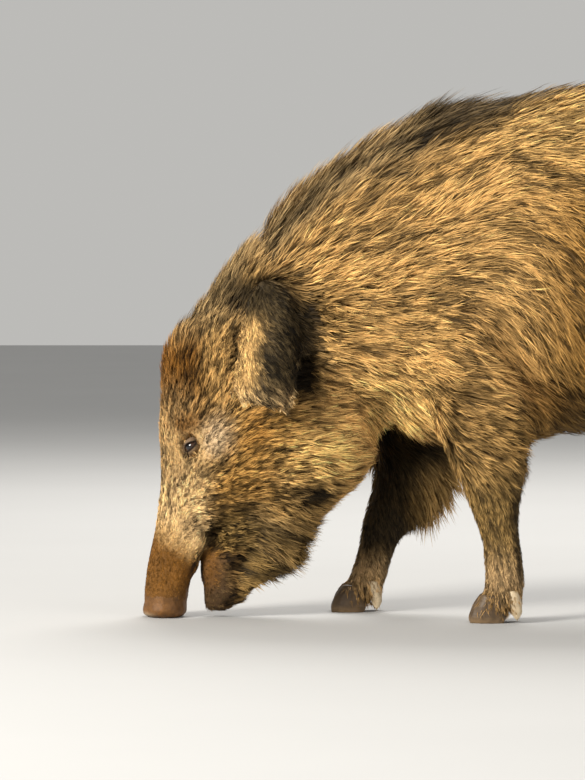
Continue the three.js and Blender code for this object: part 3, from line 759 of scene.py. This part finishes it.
def skin_colours():
    """The coat's markings on the skin: dark under long hair, the coat's own colour under short, with
    painted shade in the eyes' openings, the tear furrows, the lip line and the mouth.
    """
    short = ramp(coat["length"], 30, 9)[:, None]
    under = coat["root"] * 0.9 + coat["tip"] * (0.08 + 0.42 * short)
    colours = under + coat["bare"][:, None] * (coat["skin"] - under)
    blotch = 1 + 0.22 * bumps(18, 11) + 0.16 * bumps(6, 12)
    colours = colours * blotch[:, None]
    # Painted shade in the tear furrows, along the lip line and inside the mouth.
    slit = groove(*TEAR, 3) * head + groove(*LIP, 3.2) * head
    mouth = ramp(np.hypot(BACK + 393, (HIGH - 55) / 3.4), 13, 8) * ramp(HIGH, 112, 100)
    for eye in eyes.values():
        along, up, out = eye.local(skin.co)
        # Painted shade in each eye's opening and its rear corner.
        ring = ramp(np.hypot(along / 11, (up + 0.8) / 5.8), 1.15, 0.85) * (out > 0)
        ring += 0.9 * groove_in(along, up, (8, 1.5), (17, 4), 2) * (out > 0)
        lids = ramp(np.hypot(along / 19, (up - 1) / 14), 1.1, 0.7) * (out > 0)
        paint_skin(colours, 0.8 * lids, (0.13, 0.08, 0.046))
        upper = ramp(np.hypot((along - 1) / 13, (up - 7) / 3.6), 1.3, 0.7) * (out > 0)
        paint_skin(colours, 0.8 * upper, (0.19, 0.125, 0.078))
        paint_skin(colours, np.clip(ring, 0, 1), (0.014, 0.008, 0.005))
    paint_skin(colours, np.clip(slit, 0, 1), (0.022, 0.012, 0.006))
    paint_skin(colours, mouth * head, (0.016, 0.008, 0.004))
    paint_skin(colours, ramp(HIGH, 10, 2) * snout * ramp(BACK, -440, -460) * 0.8, (0.36, 0.27, 0.17))
    return colours


def make_skin():
    obj = painted("skin", skin.co, [skin.tris], skin_colours(), hide_finish)
    obj.data.materials.append(snout_finish)
    bare_faces = on_faces(coat["bare"]) > 0.5
    obj.data.polygons.foreach_set("material_index", bare_faces.astype(np.int32))
    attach(obj, "root")
    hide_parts(*FLESH)


make_skin()


# ---------- the coat
PATCH = 0.003  # how much of its map each blade covers
DARK_SHARE = 0.24  # the share of the locks that are darker and finer
ROOT_SUNK = 1.2 * MM  # how deep the roots lie in the skin
BLADE_KEYS = ("depth", "flare", "length", "width", "thick", "mottle", "stray", "root", "tip")
density_scale = 1
areas = np.linalg.norm(skin.face_vectors(), axis=1) / 2
face_centres = skin.corners().mean(axis=1)


def winding_order(points):
    """An order that visits neighbours in turn, so that even steps along it are even in space."""
    cells = ((points - points.min(axis=0)) / (3 * MM)).astype(np.int64)
    code = np.zeros(len(points), np.int64)
    for bit in range(10):
        for k in range(3):
            code |= ((cells[:, k] >> bit) & 1) << (3 * bit + k)
    return np.argsort(code, kind="stable")


winding = winding_order(face_centres)


def unwrap(points, axis, core):
    """Rolls the skin out round an axis through core, or else one that follows the points' middle."""
    axis = unit(np.array(axis, float))
    first = unit(np.cross(axis, [0.31, 0.17, 0.93] if abs(axis[2]) < 0.7 else [0, 1, 0]))
    second = np.cross(axis, first)
    along, a, b = points @ axis, points @ first, points @ second
    if core is None:
        a = a - np.polyval(np.polyfit(along, a, 3), along)
        b = b - np.polyval(np.polyfit(along, b, 3), along)
    else:
        a, b = a - core @ first, b - core @ second
    flat = np.stack([along, np.arctan2(b, a)], axis=1)
    flat = (flat - flat.min(axis=0)) / np.ptp(flat, axis=0)
    return 0.01 + 0.98 * flat


def blades(locks, count, rings):
    """The vertices and colours of count blades in each lock. locks has an array for each property."""
    total = len(locks.at) * count
    one = SimpleNamespace(**{key: np.repeat(value, count, axis=0) for key, value in vars(locks).items()})
    side = np.cross(one.normal, one.lie)
    radius = np.sqrt(count / (np.pi * one.thick * 1000)) * 1.2
    spin = rng.uniform(0, 2 * np.pi, total)
    reach = radius * np.sqrt(rng.uniform(0, 1, total))
    forth, across = reach * np.cos(spin), reach * np.sin(spin)
    turn = one.turn + np.radians(rng.normal(0, 0.45, total) * one.stray)
    ahead = one.lie * np.cos(turn)[:, None] + side * np.sin(turn)[:, None]
    beside = np.cross(one.normal, ahead)
    length = one.length * MM * rng.uniform(0.72, 1.15, total) * one.growth
    lift = (np.maximum(one.depth, 1) * one.rise * rng.uniform(0.55, 1.05, total) + one.flare) * MM
    bend = one.bend + rng.normal(0, 0.05, total)
    roll = rng.normal(0, 0.5, total)
    flat = beside * np.cos(roll)[:, None] + one.normal * np.sin(roll)[:, None]
    root = one.at + one.lie * forth[:, None]
    half = one.width * MM * rng.uniform(0.75, 1.2, total) / 2
    shade = one.shade * np.exp(rng.normal(0, 0.22, total))
    points = np.empty((total, 2 * rings + 1, 3))
    colours = np.empty((total, 2 * rings + 1, 3))
    for k in range(rings + 1):
        s = k / rings
        away = length * s * (1 - 0.12 * s)
        up = lift * (1 - (1 - s) ** 2.2) - ROOT_SUNK * (1 - s)
        sideways = across * (1 - one.gather * s) + bend * length * s * s
        middle = root + ahead * away[:, None] + one.normal * up[:, None] + beside * sideways[:, None]
        tint = one.root + (one.tip - one.root) * ramp(s, 0, 0.8)
        tint = tint * shade[:, None]
        taper = half * (1 - 0.45 * s) if k < rings else 0 * half
        for edge in (0, 1):
            spot = min(2 * k + edge, 2 * rings)
            points[:, spot] = middle + flat * ((2 * edge - 1) * taper)[:, None]
            colours[:, spot] = tint
    points[..., 2] = np.maximum(points[..., 2], 0.4 * MM)
    return points, colours


def pick_locks(chosen, share):
    """Roots for locks at random on the chosen triangles, as thick as the coat is there."""
    weight = areas * (on_faces(coat["thick"]) * 1000) * chosen
    count = int(weight.sum() * share * density_scale)
    total = np.cumsum(weight[winding])
    spots = (np.arange(count) + rng.uniform(0, 1, count)) / count * total[-1]
    picked = winding[np.searchsorted(total, spots)]
    a, b = rng.uniform(0, 1, (2, count))
    a, b = np.where(a + b > 1, 1 - a, a), np.where(a + b > 1, 1 - b, b)
    bary = np.stack([1 - a - b, a, b], axis=1)

    def at_roots(values):
        corners = values[skin.tris[picked]]
        return np.einsum("nk,nk...->n...", bary, corners)

    locks = SimpleNamespace(**{key: at_roots(coat[key]) for key in BLADE_KEYS})
    locks.at = at_roots(skin.co)
    locks.normal = unit(at_roots(normals))
    locks.lie = in_plane(at_roots(lie), locks.normal)
    return locks


def drawn_out(at, ahead, size, reach, cell, seed):
    """Noise in cells of so many mm, drawn out so many mm both ways along the hair."""
    total = np.zeros(len(at))
    for step in np.linspace(-1, 1, 7):
        total += noise((at + ahead * step * reach * MM * size) / size, cell * MM, seed)
    return total / max(total.std(), 1e-9)


def style(locks):
    """What differs from lock to lock: the way it turns, bends, rises and is shaded."""
    at, ahead = locks.at, locks.lie
    count = len(at)
    size = np.clip(locks.length / 42, 0.6, 1.2)[:, None]
    short = ramp(locks.length, 30, 12)
    swirl = 0.9 * noise(at / size, 60 * MM, 21) + 0.9 * noise(at / size, 24 * MM, 22)
    streak = drawn_out(at, ahead, size, 24, 5.5, 23)
    clump = (1 - short) * drawn_out(at, ahead, size, 44, 12, 27)
    patch = noise(at, 70 * MM, 24) + 0.8 * noise(at, 28 * MM, 26)
    locks.turn = np.radians(locks.stray * (0.9 * swirl + 0.55 * rng.normal(0, 1, count)))
    locks.bend = 0.1 * noise(at / size, 18 * MM, 25) + rng.normal(0, 0.05, count)
    dark = rng.uniform(0, 1, count) < DARK_SHARE
    locks.width *= np.where(dark, 0.8, 1)
    rise = 0.88 + 0.12 * streak + 0.11 * clump * locks.mottle + 0.08 * dark
    locks.rise = np.clip(rise + 0.07 * rng.normal(0, 1, count), 0.4, 1.25)
    locks.growth = np.clip(1 + 0.16 * rng.normal(0, 1, count), 0.6, 1.4)
    locks.gather = rng.uniform(0.35, 0.8, count)
    vary = locks.mottle * (1 + 1.2 * short)
    differ = 0.27 * streak + 0.25 * clump + 0.15 * rng.normal(0, 1, count)
    tone = np.where(dark, 1.08 - 0.66 * np.minimum(locks.mottle, 1.25), 1.08)
    locks.shade = np.minimum(np.exp(vary * differ + 0.12 * patch) * tone, 1.5)
    return locks


def blade_piece(name, points, colours, spots):
    """An object made of blades. spots holds each blade's place on the map OFBake."""
    total, per_blade = points.shape[:2]
    rings = (per_blade - 1) // 2
    first = (np.arange(total) * per_blade)[:, None]
    quads = [first + [2 * k, 2 * k + 1, 2 * k + 3, 2 * k + 2] for k in range(rings - 1)]
    tips = first + [2 * rings - 2, 2 * rings - 1, 2 * rings]
    faces = [np.concatenate(quads), tips]
    obj = painted(name, points.reshape(-1, 3), faces, colours.reshape(-1, 3), hair_finish)
    step = np.arange(per_blade)
    corner = np.stack([step % 2, (step // 2) / rings], axis=1) - 0.5
    corner[-1] = (0, 0.5)
    uv = (spots[:, None] + corner * PATCH).reshape(-1, 2)
    loops = np.empty(len(obj.data.loops), np.int32)
    obj.data.loops.foreach_get("vertex_index", loops)
    layer = obj.data.uv_layers.new(name="OFBake")
    layer.data.foreach_set("uv", uv[loops].astype(np.float32).ravel())
    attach(obj, "root")


def grow(name, chosen, rings=2, share=1, axis=(0, 0, 1), core=None, tune=None, per_lock=6):
    """One piece of the coat, on the chosen triangles of the skin."""
    locks = style(pick_locks(chosen, share / per_lock))
    if tune:
        tune(locks)
    points, colours = blades(locks, per_lock, rings)
    spots = np.repeat(unwrap(locks.at, axis, core), per_lock, axis=0)
    blade_piece(name, points, colours, spots)


def pointed(locks):
    """Draws long hair together into pointed locks."""
    locks.gather += ramp(locks.length, 22, 34) * (0.92 - locks.gather)


face_side = face_centres[:, 0]
face_back = (face_centres[:, 1] - FOOT_Y) / MM
main_kinds = ["trunk", "neck", "head", "lower_jaw", "tail", "ear_left", "ear_right"]
main_kinds += [f"leg_{leg}" for leg in LEGS] + ["snout_disc"]
owner = np.argmax([on_faces(zone[kind]) for kind in main_kinds], axis=0)
on = {kind: owner == k for k, kind in enumerate(main_kinds)}
body_core = place(200, 420)
neck_core = place(-220, 400)
BODY_AXIS, NECK_AXIS = (0, 1, 0), (0, 0.8, 0.6)
head_core = place(-320, 200)


def bristle(locks):
    """Long, stiff mane bristles that stand up and back."""
    locks.length *= 1.5
    locks.width *= 0.8
    locks.rise *= 0.95
    locks.gather *= 0.6


for side, turn in SIDES.items():
    here = on["trunk"] & (face_side * turn >= 0)
    grow(f"coat_shoulder_{side}", here & (face_back < 70), axis=BODY_AXIS, core=body_core)
    grow(f"coat_ribs_{side}", here & (face_back >= 70) & (face_back < 300), axis=BODY_AXIS, core=body_core)
    grow(f"coat_haunch_{side}", here & (face_back >= 300), axis=BODY_AXIS, core=body_core)
    here = on["neck"] & (face_side * turn >= 0)
    grow(f"coat_neck_{side}", here, axis=NECK_AXIS, core=neck_core)
for side, turn in SIDES.items():
    here = on["head"] & (face_side * turn >= 0)
    cheek = here & (face_back >= -372)
    grow(f"coat_cheek_{side}", cheek, core=head_core, per_lock=9, tune=pointed)
    grow(f"coat_face_{side}", here & (face_back < -372), core=head_core, per_lock=11)
grow("coat_jaw", on["lower_jaw"], core=place(-325, 60), per_lock=9, tune=pointed)
for leg in LEGS:
    grow(f"coat_leg_{leg}", on[f"leg_{leg}"])
for side in SIDES:
    grow(f"coat_ear_{side}", on[f"ear_{side}"])
grow("coat_tail", on["tail"], rings=3)
chosen = (on["neck"] | on["trunk"] | on["head"]) * on_faces(mane)
grow("coat_mane", chosen, 4, share=0.9, axis=NECK_AXIS, core=neck_core, tune=bristle)


# ---------- eyes and horn
def make_eye(side):
    """A wet eyeball: a dark pupil in a brown iris, under a slightly raised cornea."""
    eye = eyes[side]
    slices, stacks = 48, 32
    polar = np.linspace(0, np.pi, stacks + 1)[1:-1]
    turn = np.linspace(0, 2 * np.pi, slices, endpoint=False)
    radius = eye.radius * (1 + 0.045 * ramp(polar, 0.75, 0))
    round_it = np.cos(turn)[:, None] * eye.along + np.sin(turn)[:, None] * eye.up
    rings = [eye.centre + r * (np.cos(p) * eye.out + np.sin(p) * round_it) for p, r in zip(polar, radius)]
    poles = [eye.centre + eye.out * eye.radius * 1.045, eye.centre - eye.out * eye.radius]
    co = np.concatenate([*rings, poles])
    index = np.arange(len(rings) * slices).reshape(len(rings), slices)
    after = np.roll(index, -1, axis=1)
    quads = np.stack([index[:-1], after[:-1], after[1:], index[1:]], axis=-1).reshape(-1, 4)
    north, south = len(co) - 2, len(co) - 1
    caps = [[north, b, a] for a, b in zip(index[0], after[0])]
    caps += [[south, a, b] for a, b in zip(index[-1], after[-1])]
    quads, caps = quads[:, ::-1], np.array(caps)[:, ::-1]
    angle = np.concatenate([np.repeat(polar, slices), [0, np.pi]])
    pupil, iris, white = np.array([(0.003, 0.003, 0.004), (0.05, 0.022, 0.01), (0.1, 0.07, 0.055)])
    tone = white + ramp(angle, 0.95, 0.85)[:, None] * (iris - white)
    tone = tone + ramp(angle, 0.45, 0.36)[:, None] * (pupil - tone)
    obj = painted(f"eyeball_{side}", co, [quads, caps], tone, eye_finish)
    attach(obj, "root")
    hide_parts(f"eye_{side}")


def make_lashes():
    """A row of dark lashes on each upper lid, pointing out and down over the eye."""
    points = []
    for eye in eyes.values():
        for share in np.linspace(-0.8, 0.9, 26):
            root_up = SLIT_UP * math.sqrt(1 - (share * 0.9) ** 2) + 0.5
            flat = math.hypot(SLIT_HALF * share, root_up)
            out = math.sqrt((eye.radius / MM + 1.4) ** 2 - flat**2)
            root = eye.centre + (SLIT_HALF * share * eye.along + root_up * eye.up + out * eye.out) * MM
            reach = (rng.uniform(4.5, 7) + 2 * share) * MM
            ahead = unit(eye.out + eye.along * (0.5 * share + rng.normal(0, 0.1)) - 0.35 * eye.up)
            wide = 0.25 * MM * eye.along
            bend = root + ahead * reach * 0.55
            tip = root + (ahead + 0.28 * eye.up) * reach
            points.append([root - wide, root + wide, bend - wide * 0.6, bend + wide * 0.6, tip])
    points = np.array(points)
    colours = np.full(points.shape, (0.018, 0.011, 0.007))
    blade_piece("lashes", points, colours, unwrap(points[:, 0], (0, 0, 1), head_core))


def make_horn(node):
    """A hoof or dewclaw with rounded edges, growth rings and a worn, paler tip."""
    mesh = remeshed(node + "_fine", [node], 1.3 * MM)
    horn = Surface(*mesh_arrays(mesh))
    bpy.data.meshes.remove(mesh)
    low = horn.co[:, 2].min()
    horn.relax(14 if "dewclaw" in node else 8, 0.5)
    high = horn.co[:, 2]
    rings = np.sin((high + 1.2 * MM * noise(horn.co, 9 * MM, 31)) * 2 * np.pi / (3.4 * MM))
    rough = 0.25 if "dewclaw" in node else 1
    relief = rough * (0.07 * rings + 0.4 * noise(horn.co, 9 * MM, 32)) * MM
    relief *= ramp(high, low + 1 * MM, low + 4 * MM)
    horn.co = horn.co + horn.normals() * relief[:, None]
    horn.co[:, 2] = np.where(high < low + 1.2 * MM, low, horn.co[:, 2])
    tones = [(0.24, 0.155, 0.08), (0.075, 0.046, 0.023)]
    if "dewclaw" in node:
        tones = [(0.7, 0.57, 0.38), (0.5, 0.39, 0.25)]
    pale, dark = np.array(tones)
    share = ramp(high, low - 4 * MM, low + 12 * MM) + 0.3 * noise(horn.co, 12 * MM, 33)
    tone = pale + np.clip(share, 0, 1)[:, None] * (dark - pale)
    tone = tone * (1 + 0.03 * rings)[:, None]
    obj = painted(node + "_horn", horn.co, [horn.tris], tone, horn_finish)
    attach(obj, "root")
    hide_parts(node)


for side in SIDES:
    make_eye(side)
make_lashes()
for node in HORNS:
    make_horn(node)


# ---------- the stage
def make_floor():
    """A large, plain, pale floor."""
    half_side = 14
    co = half_side * np.array([[-1, -1, 0], [1, -1, 0], [1, 1, 0], [-1, 1, 0]])
    paint = material("floor_paint", 0.9, specular=0.2, grain=(0.6, 0.015))
    floor = painted("floor", co, [np.array([[0, 1, 2, 3]])], np.full((4, 3), 0.46), paint)


def aimed(name, data, at, target):
    """A light or camera at one point, turned towards another."""
    obj = bpy.data.objects.new(name, data)
    obj.location = at
    obj.rotation_euler = (Vector(target) - obj.location).to_track_quat("-Z", "Y").to_euler()
    bpy.context.scene.collection.objects.link(obj)
    return obj


def make_lights():
    """A soft key from the animal's front left, two weaker lights and a pale surrounding."""
    for name, at, size, power, colour in (
        ("key", (2.7, -3.2, 2.15), 1.4, 268, (1, 0.96, 0.88)),
        ("fill", (3.2, 2.6, 1.4), 2.6, 45, (1, 0.97, 0.93)),
        ("back", (-2.6, 0.2, 3.4), 2.4, 165, (1, 0.97, 0.92)),
    ):
        data = bpy.data.lights.new(name, "AREA")
        data.size, data.energy, data.color = size, power, colour
        aimed(name, data, at, place(50, 300))
    world = bpy.data.worlds.new("surround")
    world.use_nodes = True
    sky = world.node_tree.nodes["Background"]
    sky.inputs["Color"].default_value = (0.84, 0.83, 0.8, 1)
    sky.inputs["Strength"].default_value = 0.6
    bpy.context.scene.world = world


def make_camera():
    """The photo's view: from the animal's left, a little above level, with a long lens."""
    distance, rise = 6, math.radians(2)
    seen_high = 1.014  # metres from the frame's bottom to its top, at the animal
    target = Vector(place(-270, 295))
    data = bpy.data.cameras.new("camera")
    data.sensor_width = 36
    data.lens = data.sensor_width * distance / seen_high
    data.clip_end = 100
    at = target + distance * Vector((math.cos(rise), 0, math.sin(rise)))
    bpy.context.scene.camera = aimed("camera", data, at, target)


make_floor()
make_lights()
make_camera()
bpy.context.scene.view_settings.view_transform = "Standard"
